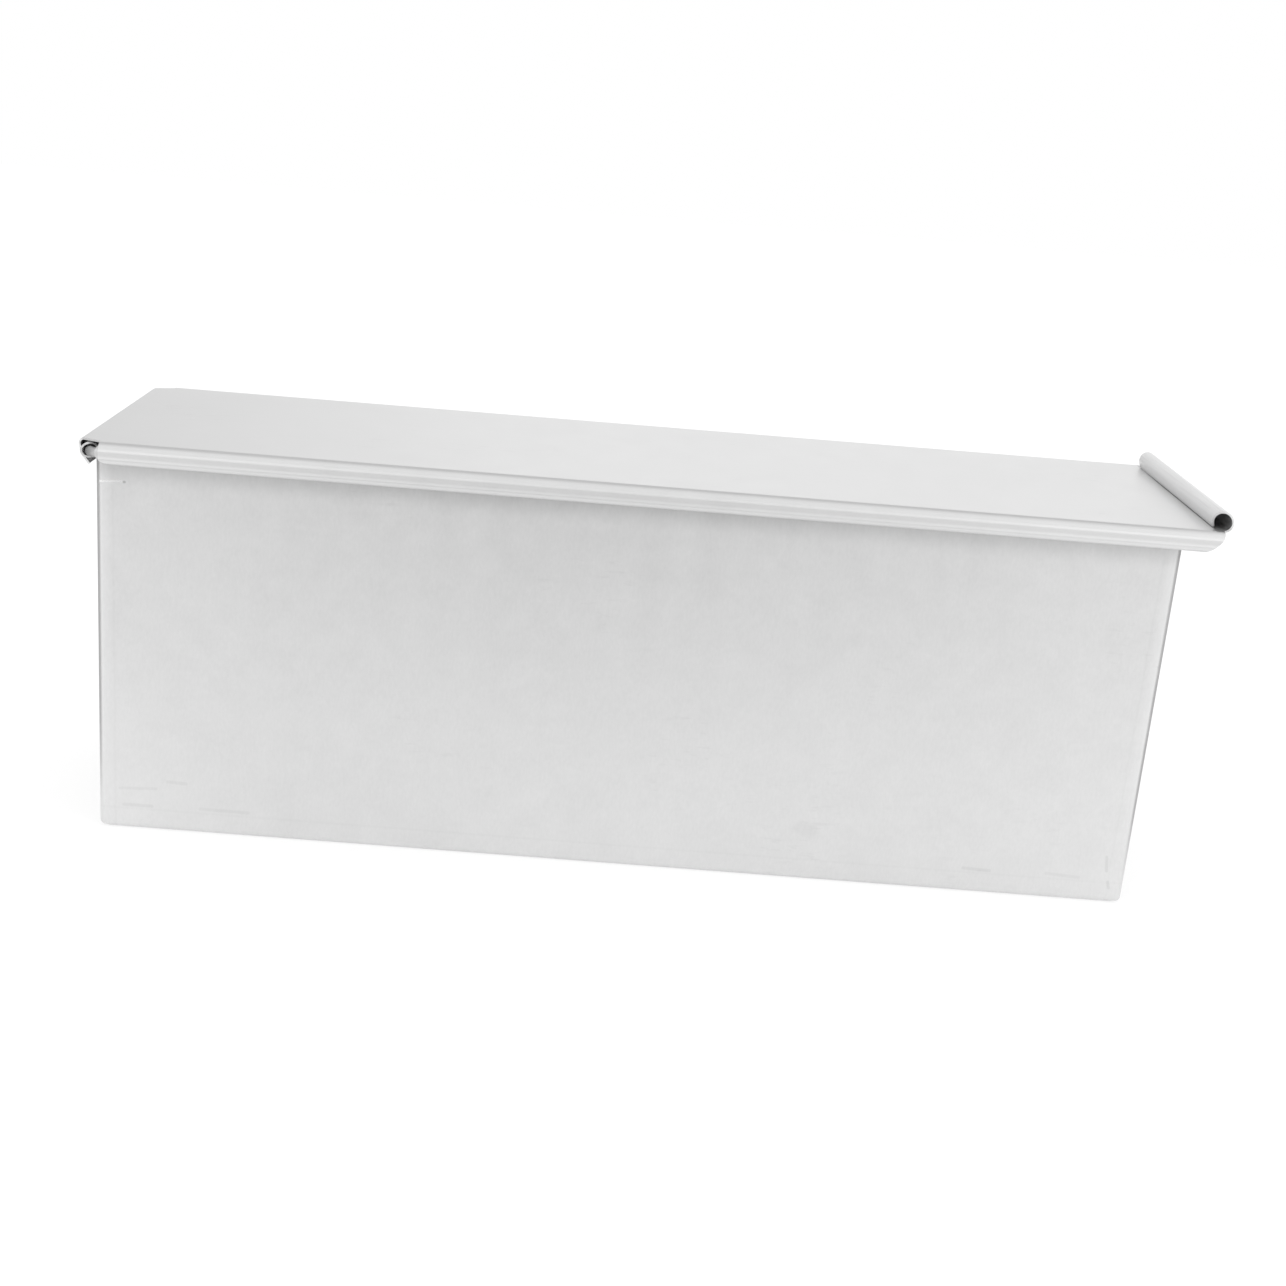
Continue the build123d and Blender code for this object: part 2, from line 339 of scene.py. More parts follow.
# Noise from -1 to 1, drawn out along an axis by its stretch.
def buildGrain(values):
    inputs = (("Place", "NodeSocketVector", None), ("Stretch", "NodeSocketVector", (1, 1, 1)),
              ("Size", "NodeSocketFloat", 0.001), ("Detail", "NodeSocketFloat", 2))
    tree, given, result = newGroup("sheetGrain", inputs, "Grain")
    drawn = addNode(tree, "ShaderNodeVectorMath", operation="DIVIDE")
    tree.links.new(given["Place"], drawn.inputs[0])
    tree.links.new(given["Stretch"], drawn.inputs[1])
    noise = addNode(tree, "ShaderNodeTexNoise", Roughness=values["grainRoughness"])
    tree.links.new(drawn.outputs[0], noise.inputs["Vector"])
    tree.links.new(addMath(tree, "DIVIDE", 1, given["Size"]), noise.inputs["Scale"])
    tree.links.new(given["Detail"], noise.inputs["Detail"])
    centred = addMath(tree, "SUBTRACT", noise.outputs["Fac"], 0.5)
    tree.links.new(addMath(tree, "MULTIPLY", centred, values["grainGain"]), result)
    return tree


# Faint handling marks: drawn-out streaks, only inside scattered patches.
def buildScuffs(values):
    inputs = (("Place", "NodeSocketVector", None), ("Stretch", "NodeSocketVector", (1, 1, 1)),
              ("Streak Size", "NodeSocketFloat", 0.002), ("Patch Size", "NodeSocketFloat", 0.05),
              ("Spread", "NodeSocketFloat", 0.5))
    tree, given, result = newGroup("handlingMarks", inputs, "Mark")
    drawn = addNode(tree, "ShaderNodeVectorMath", operation="DIVIDE")
    tree.links.new(given["Place"], drawn.inputs[0])
    tree.links.new(given["Stretch"], drawn.inputs[1])
    streaks = addNode(tree, "ShaderNodeTexNoise", Detail=values["streakDetail"])
    tree.links.new(drawn.outputs[0], streaks.inputs["Vector"])
    tree.links.new(addMath(tree, "DIVIDE", 1, given["Streak Size"]), streaks.inputs["Scale"])
    patches = addNode(tree, "ShaderNodeTexNoise", Detail=values["patchDetail"])
    tree.links.new(given["Place"], patches.inputs["Vector"])
    tree.links.new(addMath(tree, "DIVIDE", 1, given["Patch Size"]), patches.inputs["Scale"])
    streak = fadeBetween(tree, streaks.outputs["Fac"], values["streakStart"], values["streakFull"], 0, 1)
    over = addMath(tree, "SUBTRACT", patches.outputs["Fac"], addMath(tree, "SUBTRACT", 1, given["Spread"]))
    patch = fadeBetween(tree, over, 0, values["patchEdge"], 0, 1)
    tree.links.new(addMath(tree, "MULTIPLY", streak, patch), result)
    return tree


# One straight soft mark from a start to an end.
def buildStroke(values):
    inputs = (("Place", "NodeSocketVector", None), ("Start", "NodeSocketVector", (0, 0, 0)),
              ("Run", "NodeSocketVector", (1, 0, 0)), ("Width", "NodeSocketFloat", 0.001))
    tree, given, result = newGroup("singleMark", inputs, "Mark")

    def vector(operation, first, second):
        node = addNode(tree, "ShaderNodeVectorMath", operation=operation)
        tree.links.new(first, node.inputs[0])
        tree.links.new(second, node.inputs[3 if operation == "SCALE" else 1])
        return node

    away = vector("SUBTRACT", given["Place"], given["Start"]).outputs["Vector"]
    along = vector("DOT_PRODUCT", away, given["Run"]).outputs["Value"]
    whole = vector("DOT_PRODUCT", given["Run"], given["Run"]).outputs["Value"]
    share = addMath(tree, "DIVIDE", along, whole, clamp=True)
    nearest = vector("SCALE", given["Run"], share).outputs["Vector"]
    distance = vector("DISTANCE", away, nearest).outputs["Value"]
    off = addMath(tree, "DIVIDE", distance, given["Width"])
    tree.links.new(fadeBetween(tree, off, values["strokeCore"], 1, 1, 0), result)
    return tree


grainGroup = buildGrain(patterns)
scuffGroup = buildScuffs(patterns)
strokeGroup = buildStroke(patterns)
print("grain, scuffs and marks ready")


def placeGroup(tree, group, place, **settings):
    node = tree.nodes.new("ShaderNodeGroup")
    node.node_tree = group
    tree.links.new(place, node.inputs["Place"])
    for name, value in settings.items():
        node.inputs[name].default_value = value
    return node.outputs[0]


def addUp(tree, parts):
    total = None
    for part, weight in parts:
        weighed = addMath(tree, "MULTIPLY", part, weight)
        total = weighed if total is None else addMath(tree, "ADD", total, weighed)
    return total


# A metal whose tone, gloss and height vary over its surface.
def finishMetal(material, values, tones, glosses, heights):
    tree = material.node_tree
    shader = tree.nodes["Principled BSDF"]
    shader.inputs["Metallic"].default_value = values["metallic"]
    tone = addMath(tree, "MULTIPLY", addMath(tree, "ADD", addUp(tree, tones), 1), values["colour"])
    colour = addNode(tree, "ShaderNodeCombineColor")
    for channel in ("Red", "Green", "Blue"):
        tree.links.new(tone, colour.inputs[channel])
    tree.links.new(colour.outputs[0], shader.inputs["Base Color"])
    gloss = addMath(tree, "ADD", addUp(tree, glosses), values["roughness"], clamp=True)
    tree.links.new(gloss, shader.inputs["Roughness"])
    bump = addNode(tree, "ShaderNodeBump", Strength=1, Distance=1)
    tree.links.new(addUp(tree, heights), bump.inputs["Height"])
    tree.links.new(bump.outputs[0], shader.inputs["Normal"])


def newMetal(name):
    material = bpy.data.materials.new(name)
    material.use_nodes = True
    tree = material.node_tree
    place = addNode(tree, "ShaderNodeTexCoord").outputs["Object"]
    parts = addNode(tree, "ShaderNodeSeparateXYZ")
    tree.links.new(place, parts.inputs[0])
    return material, tree, place, parts.outputs


def dress(piece, material):
    piece.data.materials.clear()
    piece.data.materials.append(material)


# The patterns that the pan's and the lid's sheet share.
def sheetPatterns(tree, place, values):
    grain = placeGroup(tree, grainGroup, place, Stretch=values["grainStretch"], Size=values["grainSize"],
                       Detail=values["grainDetail"])
    mottle = placeGroup(tree, grainGroup, place, Size=values["mottleSize"], Detail=values["mottleDetail"])
    cloud = placeGroup(tree, grainGroup, place, Size=values["cloudSize"], Detail=values["cloudDetail"])
    scuffs = placeGroup(tree, scuffGroup, place, Stretch=values["scuffStretch"], Spread=values["scuffSpread"],
                        **{"Streak Size": values["scuffSize"], "Patch Size": values["scuffPatch"]})
    return grain, mottle, cloud, scuffs


wireFinish = {
    "colour": 0.56,
    "metallic": 0.9,
    "roughness": 0.42,
    "lineSize": 0.0004,                      # drawing lines along the wire
    "lineStretch": (40, 40, 1),
    "lineDetail": 3,
    "lineTone": 0.12,
    "lineGloss": 0.05,
    "lineHeight": 0.000004,
    "stainSize": 0.012,
    "stainDetail": 3,
    "stainTone": 0.1,
    "stainGloss": 0.06,
}


def finishWire(values):
    material, tree, place, parts = newMetal("drawnWire")
    lines = placeGroup(tree, grainGroup, place, Stretch=values["lineStretch"], Size=values["lineSize"],
                       Detail=values["lineDetail"])
    stains = placeGroup(tree, grainGroup, place, Size=values["stainSize"], Detail=values["stainDetail"])
    tones = ((lines, values["lineTone"]), (stains, values["stainTone"]))
    glosses = ((lines, values["lineGloss"]), (stains, values["stainGloss"]))
    finishMetal(material, values, tones, glosses, ((lines, values["lineHeight"]),))
    return material


dress(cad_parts["rim_wire"], finishWire(wireFinish))
print("wire finished")


lidShape = {
    "gripBend": 0.0024,                      # inside radius of the grip's curl
    "gripTurn": 285,                         # degrees
    "gripEdge": 0.00015,                     # free edge of the curl to the lid's top
    "gripInset": 0.00035,                    # step in from the flat top's side
    "gripTrim": 18,                          # slant of the curl's ends, degrees
    "gripSteps": 48,                         # straight steps that make the curl round
    "hookBend": 0.0012,                      # inside radius of the hook's first fold
    "hookRun": 0.0056,                       # flat before that fold
    "hookTurn": 135,                         # from flat to the slanted leg, degrees
    "hookLeg": 0.003,
    "hookInset": 0.001,
    "hookTrim": 27,                          # slant of the hook's ends, degrees
    "clearance": 0.0003,                     # lid to the rolled rim
    "topBend": 0.00225,                      # inside radii of a channel's two folds
    "lowBend": 0.0011,
    "grooveTurn": 8,                         # how far a channel's side leans in, degrees
    "lip": 0.0016,
    "noseLength": 0.008,                     # over which a channel's end is rounded
    "hookNoseHeight": 0.0018,
    "edgeRound": 0.00006,                    # worn edge of the cut sheet
    "edgeSteps": 2,
    "edgeAngle": 60,                         # edges sharper than this are worn, degrees
    "topSteps": 16,                          # straight steps that make each fold round
    "grooveSteps": 8,
    "lowSteps": 24,
    "hookSteps": 18,
    "seatSteps": 6,
}


# A flat sheet is drawn out, fold by fold, into the channels, the hook and the curl.
def foldLid(values):
    half = sheet / 2
    gripBend = values["gripBend"] + half
    middle = lidHigh.z - 2 * gripBend - half
    flatRight = lidHigh.x - gripBend - half
    foldX = lidLow.x + values["hookBend"] + sheet
    flatLeft = foldX + values["hookRun"]
    flatHalf = lidHigh.y - values["topBend"] - sheet
    hookHalf = flatHalf - values["hookInset"]
    gripHalf = flatHalf - values["gripInset"]

    bpy.ops.object.select_all(action="DESELECT")
    bpy.ops.mesh.primitive_plane_add(size=1, location=((flatLeft + flatRight) / 2, 0, middle))
    lid = bpy.context.object
    lid.name = "lidSheet"
    lid.scale = (flatRight - flatLeft, 2 * flatHalf, 1)
    bpy.ops.object.transform_apply(location=True, rotation=True, scale=True)
    for place in (hookHalf, gripHalf):
        for side in (1, -1):
            pickParts(lid, "FACE", lambda corner: True)
            bpy.ops.mesh.bisect(plane_co=(0, side * place, 0), plane_no=(0, 1, 0))

    topBend = values["topBend"] + half
    lowBend = values["lowBend"] + half
    lean = math.radians(values["grooveTurn"])
    depth = 2 * (rollRadius + values["clearance"] + sheet)
    groove = (depth - sheet - (topBend + lowBend) * (1 + math.sin(lean))) / (2 * math.sin(lean))
    grooveY = flatHalf + (topBend + groove) * math.cos(lean)
    grooveZ = middle - topBend - (topBend + groove) * math.sin(lean)
    lowY = grooveY - (groove + lowBend) * math.cos(lean)
    lowZ = middle - depth + sheet + lowBend
    for side in (1, -1):
        pickParts(lid, "EDGE", lambda corner: corner.y * side > flatHalf - nearby)
        firstTurn = 90 + values["grooveTurn"]
        bendOn((0, side * flatHalf, middle - topBend), (side, 0, 0), -firstTurn, values["topSteps"])
        bendOn((0, side * grooveY, grooveZ), (side, 0, 0), 2 * values["grooveTurn"], values["grooveSteps"])
        bendOn((0, side * lowY, lowZ), (side, 0, 0), -firstTurn, values["lowSteps"])
        drawOn((0, -side * values["lip"], 0))

    pickParts(lid, "EDGE", lambda corner: corner.x < flatLeft + nearby and abs(corner.y) < hookHalf + nearby)
    seat = rollRadius + values["clearance"] + half
    hookBend = values["hookBend"] + half
    foldZ = middle - hookBend
    outward, upward = -(foldX + rollX), foldZ - rollHeight
    away = math.hypot(outward, upward)
    tangent = 90 + math.degrees(math.acos((seat - hookBend) / away) - math.atan2(upward, outward))
    drawOn((-values["hookRun"], 0, 0))
    hookSlant = math.tan(math.radians(values["hookTrim"]))
    bendOn((foldX, 0, foldZ), (0, -1, 0), tangent, values["hookSteps"])
    link = math.sqrt(away ** 2 - (seat - hookBend) ** 2)
    slope = math.radians(tangent)
    drawOn((-link * math.cos(slope), 0, -link * math.sin(slope)))
    bendOn((-rollX, 0, rollHeight), (0, -1, 0), values["hookTurn"] - tangent, values["seatSteps"])
    slope = math.radians(values["hookTurn"])
    drawOn((-values["hookLeg"] * math.cos(slope), 0, -values["hookLeg"] * math.sin(slope)))

    endEditing()
    for vertex in lid.data.vertices:         # shears have cut the hook's ends slanting
        beyond = flatLeft - vertex.co.x
        if beyond > nearby and abs(vertex.co.y) < hookHalf + nearby:
            vertex.co.y *= 1 - beyond * hookSlant / hookHalf

    pickParts(lid, "EDGE", lambda corner: corner.x > flatRight - nearby and abs(corner.y) < gripHalf + nearby)
    stepTurn = values["gripTurn"] / values["gripSteps"]
    gripSlant = math.tan(math.radians(values["gripTrim"]))
    narrowing = gripBend * math.radians(stepTurn) * gripSlant
    width = gripHalf
    for step in range(values["gripSteps"]):  # the curl narrows as it turns
        bendOn((flatRight, 0, middle + gripBend), (0, -1, 0), stepTurn, 1)
        bpy.ops.transform.resize(value=(1, 1 - narrowing / width, 1), center_override=(0, 0, 0))
        width -= narrowing
    past = math.radians(values["gripTurn"] - 270)
    gap = half + values["gripEdge"]
    drop = (gripBend * (1 - math.sin(past)) - gap - half * math.sin(past)) / math.cos(past)
    drawOn((drop * math.sin(past), 0, -drop * math.cos(past)))
    bpy.ops.transform.resize(value=(1, 1 - drop * gripSlant / width, 1), center_override=(0, 0, 0))

    endEditing()
    roundEnds(lid, flatRight, 1, depth, middle, flatHalf, values)
    roundEnds(lid, flatLeft, -1, values["hookNoseHeight"], middle, flatHalf, values)
    applyModifier(lid, "SOLIDIFY", thickness=sheet, offset=0, use_even_offset=True)
    applyModifier(lid, "BEVEL", width=values["edgeRound"], segments=values["edgeSteps"],
                  limit_method="ANGLE", angle_limit=math.radians(values["edgeAngle"]))
    finishFaces(lid)
    return lid


# Each channel's end is cut to a quarter of an ellipse, seen from the side.
def roundEnds(lid, end, side, height, middle, flatHalf, values):
    low = middle + sheet / 2 - 2 * (rollRadius + values["clearance"] + sheet)
    for vertex in lid.data.vertices:
        place = vertex.co
        inChannel = abs(place.y) > flatHalf + nearby or place.z < low + sheet
        if not inChannel or abs(place.x - end) > nearby:
            continue
        below = max(0, 1 - (place.z - low) / height)
        place.x = end - side * values["noseLength"] * (1 - math.sqrt(1 - below ** 2))


def finishFaces(piece):
    bpy.ops.object.select_all(action="DESELECT")
    bpy.context.view_layer.objects.active = piece
    piece.select_set(True)
    bpy.ops.object.mode_set(mode="EDIT")
    bpy.ops.mesh.select_all(action="SELECT")
    bpy.ops.mesh.normals_make_consistent(inside=False)
    endEditing()
    bpy.ops.object.shade_smooth_by_angle(angle=math.radians(smoothBelow))
    applyModifier(piece, "WEIGHTED_NORMAL", keep_sharp=True)


lidFinish = {
    "colour": 0.81,
    "metallic": 0.8,
    "roughness": 0.34,
    "grainSize": 0.0007,
    "grainStretch": (1.6, 1, 1),
    "grainDetail": 3,
    "grainTone": 0.012,
    "grainGloss": 0.02,
    "grainHeight": 0.0000022,
    "mottleSize": 0.01,
    "mottleDetail": 4,
    "mottleTone": 0.016,
    "mottleGloss": 0.025,
    "cloudSize": 0.07,
    "cloudDetail": 2,
    "cloudTone": 0.01,
    "cloudHeight": 0.00002,                  # the sheet is nowhere quite flat
    "scuffStretch": (5, 1, 1),
    "scuffSize": 0.0016,
    "scuffPatch": 0.04,
    "scuffSpread": 0.42,
    "scuffTone": -0.035,
    "scuffGloss": 0.06,
    "rollLineSize": 0.0006,                  # lines that rolling has left along the curl
    "rollLineStretch": (1, 60, 1),
    "rollLineTone": 0.07,
    "rollLineHeight": 0.00002,
    "gripShadeRise": 0.0045,                  # painted shade darkens the curl up to this height over the lid
    "gripShadeTone": -0.3,
}


def finishLid(values):
    material, tree, place, parts = newMetal("lidSteel")
    grain, mottle, cloud, scuffs = sheetPatterns(tree, place, values)
    rolled = placeGroup(tree, grainGroup, place, Stretch=values["rollLineStretch"],
                        Size=values["rollLineSize"])
    start = lidHigh.x - 2 * (lidShape["gripBend"] + sheet)
    top = lidHigh.z - 2 * lidShape["gripBend"] - 2 * sheet
    above = fadeBetween(tree, parts["Z"], top + sheet / 4, top + sheet, 0, 1)
    onCurl = addMath(tree, "MULTIPLY", fadeBetween(tree, parts["X"], start, start + sheet, 0, 1), above)
    lines = addMath(tree, "MULTIPLY", rolled, onCurl)
    # painted shade on the curl's lower part, next to the lid's top
    low = fadeBetween(tree, parts["Z"], top, top + values["gripShadeRise"], 1, 0)
    low = addMath(tree, "MULTIPLY", onCurl, low)
    tones = ((grain, values["grainTone"]), (mottle, values["mottleTone"]), (cloud, values["cloudTone"]),
             (scuffs, values["scuffTone"]), (lines, values["rollLineTone"]), (low, values["gripShadeTone"]))
    glosses = ((grain, values["grainGloss"]), (mottle, values["mottleGloss"]), (scuffs, values["scuffGloss"]))
    heights = ((grain, values["grainHeight"]), (cloud, values["cloudHeight"]),
               (lines, values["rollLineHeight"]))
    finishMetal(material, values, tones, glosses, heights)
    return material


lidSheet = foldLid(lidShape)
dress(lidSheet, finishLid(lidFinish))
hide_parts("lid")
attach(lidSheet, "lid")
print("lid folded", len(lidSheet.data.polygons), "faces")


panShape = {
    "draft": 1.55,                           # lean of all four walls, degrees
    "bend": 0.002,                           # outside radius of the folds at bottom and corners
    "bendSteps": 8,                          # straight steps that make a fold round
    "earAngle": 45,                          # slope of the folded ears' lower edge, degrees
    "earParting": 0.008,                     # between the two ears on an end wall
    "earRound": 0.0005,                      # rounding of the ears' folded edge
    "earRoundSteps": 4,
    "earTopDepth": 0.25,                     # the ears run out to this share under the rim
    "earSeamDepth": 0.17,                    # and to this share where they join the long wall
    "flareHeight": 0.005,                    # over which the end walls step out over the ears
    "flareLand": 0.0015,                     # straight wall between that step and the roll
    "hemGap": 0.0004,                        # free edge of the roll to the wall
    "rollSteps": 40,
    "longRollInset": 0.0022,                 # the long walls' rolls stop this far short of the corner folds
}
draft = math.radians(panShape["draft"])
boreRadius = rollRadius - sheet
rimHalfX = rollX - boreRadius / math.cos(draft)
rimHalfY = rollY - boreRadius / math.cos(draft)
earDepth = 2 * sheet
wallTop = rollHeight - rollRadius
flareTop = wallTop - panShape["flareLand"]
flareFoot = flareTop - panShape["flareHeight"]


# How far the walls have leaned in at a height, from the rim's axis down.
def leanIn(height):
    return (rollHeight - height) * math.tan(draft)


# An open block with leaning walls, its bottom and upright edges bent round.
def leaningTub(name, halfX, halfY, top, values):
    topX, topY = halfX - leanIn(top), halfY - leanIn(top)
    lowX, lowY = halfX - leanIn(0), halfY - leanIn(0)
    bpy.ops.object.select_all(action="DESELECT")
    bpy.ops.mesh.primitive_cube_add(size=1, location=(0, 0, top / 2))
    tub = bpy.context.object
    tub.name = name
    tub.scale = (2 * topX, 2 * topY, top)
    bpy.ops.object.transform_apply(location=True, rotation=True, scale=True)
    pickParts(tub, "VERT", lambda corner: corner.z < nearby)
    bpy.ops.transform.resize(value=(lowX / topX, lowY / topY, 1), center_override=(0, 0, 0))
    pickParts(tub, "FACE", lambda corner: corner.z > top - nearby)
    bpy.ops.mesh.delete(type="ONLY_FACE")
    pickParts(tub, "EDGE", lambda corner: True)
    endEditing()
    for edge in tub.data.edges:
        edge.select = min(tub.data.vertices[index].co.z for index in edge.vertices) < nearby
    bpy.ops.object.mode_set(mode="EDIT")
    bpy.ops.mesh.bevel(offset=values["bend"], offset_type="OFFSET", segments=values["bendSteps"],
                       affect="EDGES")
    endEditing()
    return tub


def cutAcross(piece, place, normal, drop=False):
    pickParts(piece, "FACE", lambda corner: True)
    bpy.ops.mesh.bisect(plane_co=place, plane_no=normal, clear_inner=drop)
    endEditing()


# The rim's roll is drawn up from a wall's top edge and bent outwards, with its ends cut slanting.
def rollRim(pan, along, across, roll, rim, end, values):
    rise = rollHeight + boreRadius * math.sin(draft) - wallTop
    hem = math.degrees(math.acos((boreRadius - values["hemGap"]) / rollRadius))
    wrap = 360 - hem - values["draft"]
    outward = rim - leanIn(wallTop) - nearby
    for side in (1, -1):
        def onWall(corner):
            atTop = corner.z > wallTop - nearby and side * corner[across] > outward
            return atTop and abs(corner[along]) < end + nearby

        pickParts(pan, "EDGE", onWall)
        move, centre, axis = Vector((0, 0, rise)), Vector((0, 0, rollHeight)), Vector((0, 0, 0))
        move[across] = side * rise * math.tan(draft)
        centre[across] = side * roll
        axis[along] = side if along == 0 else -side
        drawOn(move)
        bendOn(centre, axis, -wrap, values["rollSteps"])
        endEditing()
    for vertex in pan.data.vertices:
        beyond = abs(vertex.co[across]) - rim
        if beyond > 0 and vertex.co.z > wallTop + nearby and abs(abs(vertex.co[along]) - end) < nearby:
            vertex.co[along] += math.copysign(beyond, vertex.co[along])


# One ear: the corner's spare sheet, folded flat on the end wall.
def foldEar(values):
    ear = leaningTub("ear", rimHalfX, rimHalfY, flareTop, values)
    seam = rimHalfX - earDepth - values["bend"]
    corner = rimHalfY - leanIn(0)
    slope = math.radians(values["earAngle"])
    parting = values["earParting"] / 2
    cutAcross(ear, (seam, 0, rollHeight), (math.cos(draft), 0, -math.sin(draft)), drop=True)
    cutAcross(ear, (0, corner, 0), (0, math.sin(slope), math.cos(slope)), drop=True)
    cutAcross(ear, (0, parting, 0), (0, 1, 0), drop=True)
    cutAcross(ear, (0, 0, flareFoot), (0, 0, 1))
    start = Vector((seam - leanIn(flareFoot), 0, flareFoot))
    step = (Vector((seam + earDepth - leanIn(flareTop), 0, flareTop)) - start).normalized()
    pickParts(ear, "FACE", lambda corner: corner.z > flareFoot - nearby)
    bpy.ops.mesh.bisect(plane_co=start, plane_no=(step.z, 0, -step.x), clear_inner=True)
    endEditing()
    depth = ear.vertex_groups.new(name="depth")
    for vertex in ear.data.vertices:
        share = 1
        if vertex.co.z > flareTop - nearby:
            share = values["earTopDepth"]
        if vertex.co.x < seam - leanIn(vertex.co.z) + nearby:
            share = values["earSeamDepth"]
        depth.add([vertex.index], share, "REPLACE")
    turnOutwards(ear)
    applyModifier(ear, "SOLIDIFY", thickness=earDepth, offset=-1, use_even_offset=True, vertex_group="depth")

    def onFold(place):
        onSlope = abs((place.y - corner) * math.sin(slope) + place.z * math.cos(slope)) < nearby
        onParting = abs(place.y - parting) < nearby
        outside = place.x > rimHalfX - leanIn(place.z) - nearby
        return (onSlope or onParting) and outside and place.z < flareFoot + nearby

    pickParts(ear, "EDGE", onFold)
    bpy.ops.mesh.bevel(offset=values["earRound"], segments=values["earRoundSteps"], affect="EDGES")
    endEditing()
    return ear


def turnOutwards(piece):
    pickParts(piece, "FACE", lambda corner: True)
    bpy.ops.mesh.normals_make_consistent(inside=False)
    endEditing()
    face = max(piece.data.polygons, key=lambda each: each.area)
    if face.normal.dot(face.center - Vector((0, 0, wallTop / 2))) < 0:
        bpy.ops.object.mode_set(mode="EDIT")
        bpy.ops.mesh.select_all(action="SELECT")
        bpy.ops.mesh.flip_normals()
        endEditing()


def foldPan(values):
    pan = leaningTub("panShell", rimHalfX - earDepth, rimHalfY, wallTop, values)
    cutAcross(pan, (0, 0, flareFoot), (0, 0, 1))
    cutAcross(pan, (0, 0, flareTop), (0, 0, 1))
    for side in (1, -1):                     # the end walls step out over the ears
        pickParts(pan, "VERT", lambda corner: corner.z > flareTop - nearby and side * corner.x > 0)
        bpy.ops.transform.translate(value=(side * earDepth, 0, 0))
        endEditing()
    endX = rimHalfX - leanIn(wallTop) - values["bend"]
    endY = rimHalfY - leanIn(wallTop) - values["bend"]
    rollEnd = endX - values["longRollInset"]
    for side in (1, -1):
        cutAcross(pan, (side * rollEnd, 0, 0), (1, 0, 0))
    rollRim(pan, 0, 1, rollY, rimHalfY, rollEnd, values)
    rollRim(pan, 1, 0, rollX, rimHalfX, endY, values)
    turnOutwards(pan)
    applyModifier(pan, "SOLIDIFY", thickness=sheet, offset=-1, use_even_offset=True)

    ear = foldEar(values)
    ears = [ear]
    for sideX, sideY in ((1, -1), (-1, 1), (-1, -1)):
        copy = bpy.data.objects.new("ear", ear.data.copy())
        bpy.context.scene.collection.objects.link(copy)
        copy.data.transform(Matrix.Diagonal((sideX, sideY, 1, 1)))
        ears.append(copy)
    bpy.ops.object.select_all(action="DESELECT")
    for part in [pan] + ears:
        part.select_set(True)
    bpy.context.view_layer.objects.active = pan
    bpy.ops.object.join()
    finishFaces(pan)
    return pan


panFinish = {
    "colour": 0.81,
    "metallic": 0.8,
    "roughness": 0.34,
    "grainSize": 0.0008,
    "grainStretch": (1, 1, 2.2),
    "grainDetail": 3,
    "grainTone": 0.024,
    "grainGloss": 0.02,
    "grainHeight": 0.0000028,
    "mottleSize": 0.009,
    "mottleDetail": 4,
    "mottleTone": 0.02,
    "mottleGloss": 0.03,
    "cloudSize": 0.08,
    "cloudDetail": 2,
    "cloudTone": 0.01,
    "cloudHeight": 0.00003,                  # the sheet is nowhere quite flat
    "scuffStretch": (4, 4, 1),
    "scuffSize": 0.0015,
    "scuffPatch": 0.045,
    "scuffSpread": 0.44,
    "scuffTone": -0.04,
    "scuffGloss": 0.06,
    "bendReach": 0.0052,                     # press line beside each upright fold, from the edge
    "bendSlope": 0.2,                        # how far the wall has bowed at the fold
    "footReach": 0.0067,                     # press line over the bottom fold
    "footSlope": 0.05,
    "pressWidth": 0.0007,
    "pressTone": -0.022,
    "pressDepth": 0.000005,
    "rimShadeReach": 0.009,                      # painted shade under the rim, where the flange shades the wall, from the roll down
    "rimShadeTone": -0.2,
}
panMarks = (                                 # start, run, width, tone and gloss on the front wall, metres
    ((-0.1634, -0.0547, 0.1106), (0.0063, 0, 0.0005), 0.0005, 0.16, -0.12),
    ((-0.1562, -0.0548, 0.1109), (0.0002, 0, 0), 0.0006, -0.3, 0.05),
    ((-0.1555, -0.0521, 0.0131), (0.0112, 0, 0.0006), 0.0007, -0.05, 0.05),
    ((-0.1406, -0.0522, 0.0163), (0.0056, 0, -0.0002), 0.0008, -0.06, 0.05),
    ((-0.1542, -0.052, 0.0078), (0.0088, 0, 0), 0.0008, -0.07, 0.05),
    ((-0.1303, -0.052, 0.0081), (0.0151, 0, -0.0001), 0.0008, -0.055, 0.05),
    ((0.1553, -0.0522, 0.0153), (0.0006, 0.0001, -0.0047), 0.0007, -0.09, 0.05),
    ((0.1567, -0.0519, 0.007), (0.0006, 0, -0.002), 0.0007, -0.08, 0.05),
    ((0.1106, -0.052, 0.008), (0.0083, 0, -0.0003), 0.0008, -0.07, 0.05),
    ((0.137, -0.052, 0.0083), (0.0103, 0, -0.0005), 0.0008, -0.05, 0.05),
    ((0.0582, -0.0522, 0.0172), (0.0033, 0, -0.0014), 0.003, -0.035, 0.05),
)


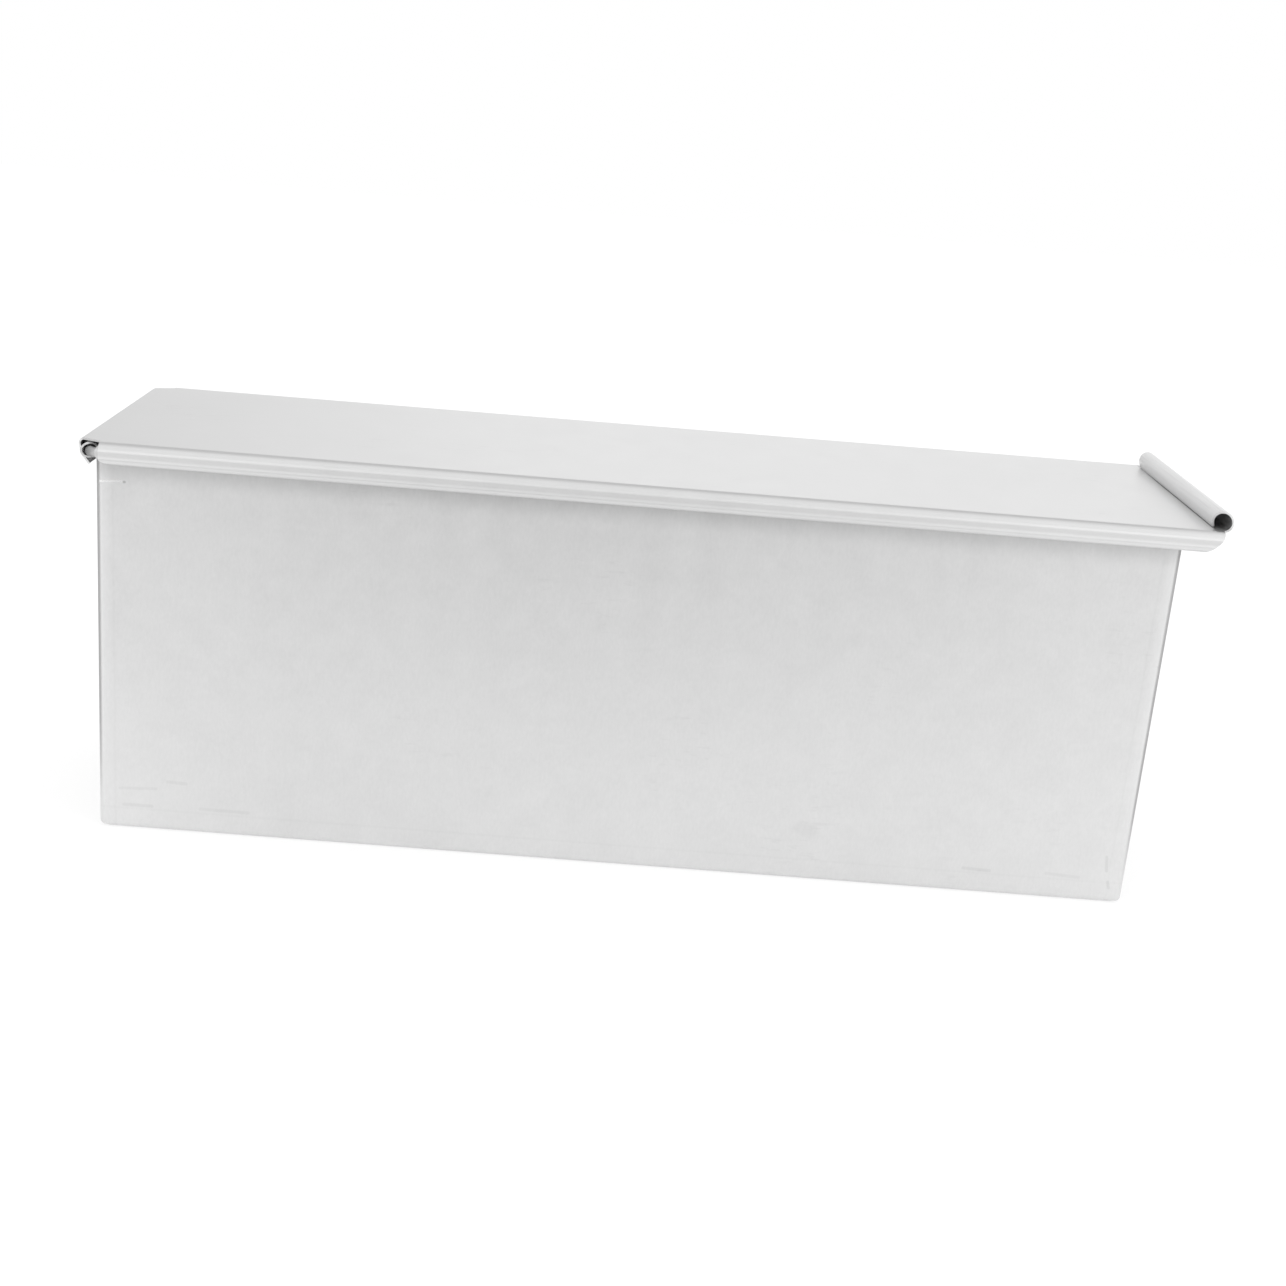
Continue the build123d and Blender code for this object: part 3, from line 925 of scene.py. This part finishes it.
# How far a place on a wall lies from that wall's upright edge. The edge leans with its neighbour.
def fromEdge(tree, parts, axis, half):
    slant = addMath(tree, "MULTIPLY", parts["Z"], math.tan(draft))
    edge = addMath(tree, "ADD", slant, half - leanIn(0))
    return addMath(tree, "SUBTRACT", edge, addMath(tree, "ABSOLUTE", parts[axis]))


def finishPan(values, marks):
    material, tree, place, parts = newMetal("panSteel")
    grain, mottle, cloud, scuffs = sheetPatterns(tree, place, values)
    onWalls = fadeBetween(tree, parts["Z"], flareFoot, flareTop, 1, 0)
    tones = [(grain, values["grainTone"]), (mottle, values["mottleTone"]), (cloud, values["cloudTone"]),
             (scuffs, values["scuffTone"])]
    glosses = [(grain, values["grainGloss"]), (mottle, values["mottleGloss"]), (scuffs, values["scuffGloss"])]
    heights = [(grain, values["grainHeight"]), (cloud, values["cloudHeight"])]
    # painted shade: the wall darkens towards the rim, standing in for the flange's shadow
    underRimShade = fadeBetween(tree, parts["Z"], wallTop - values["rimShadeReach"], wallTop, 0, 1)
    tones.append((underRimShade, values["rimShadeTone"]))
    edges = ((fromEdge(tree, parts, "X", rimHalfX), values["bendReach"], values["bendSlope"]),
             (fromEdge(tree, parts, "Y", rimHalfY), values["bendReach"], values["bendSlope"]),
             (parts["Z"], values["footReach"], values["footSlope"]))
    for distance, reach, slope in edges:
        inside = addMath(tree, "MAXIMUM", addMath(tree, "SUBTRACT", reach, distance), 0)
        bow = addMath(tree, "MULTIPLY", addMath(tree, "POWER", inside, 2), -slope / 2 / reach)
        offLine = addMath(tree, "ABSOLUTE", addMath(tree, "SUBTRACT", distance, reach))
        line = addMath(tree, "MULTIPLY", fadeBetween(tree, offLine, 0, values["pressWidth"], 1, 0), onWalls)
        heights += [(bow, 1), (line, -values["pressDepth"])]
        tones.append((line, values["pressTone"]))
    for start, run, width, tone, gloss in marks:
        mark = placeGroup(tree, strokeGroup, place, Start=start, Run=run, Width=width)
        tones.append((mark, tone))
        glosses.append((mark, gloss))
    finishMetal(material, values, tones, glosses, heights)
    return material


panShell = foldPan(panShape)
dress(panShell, finishPan(panFinish, panMarks))
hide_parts("pan_shell")
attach(panShell, "pan")
print("pan folded", len(panShell.data.polygons), "faces")
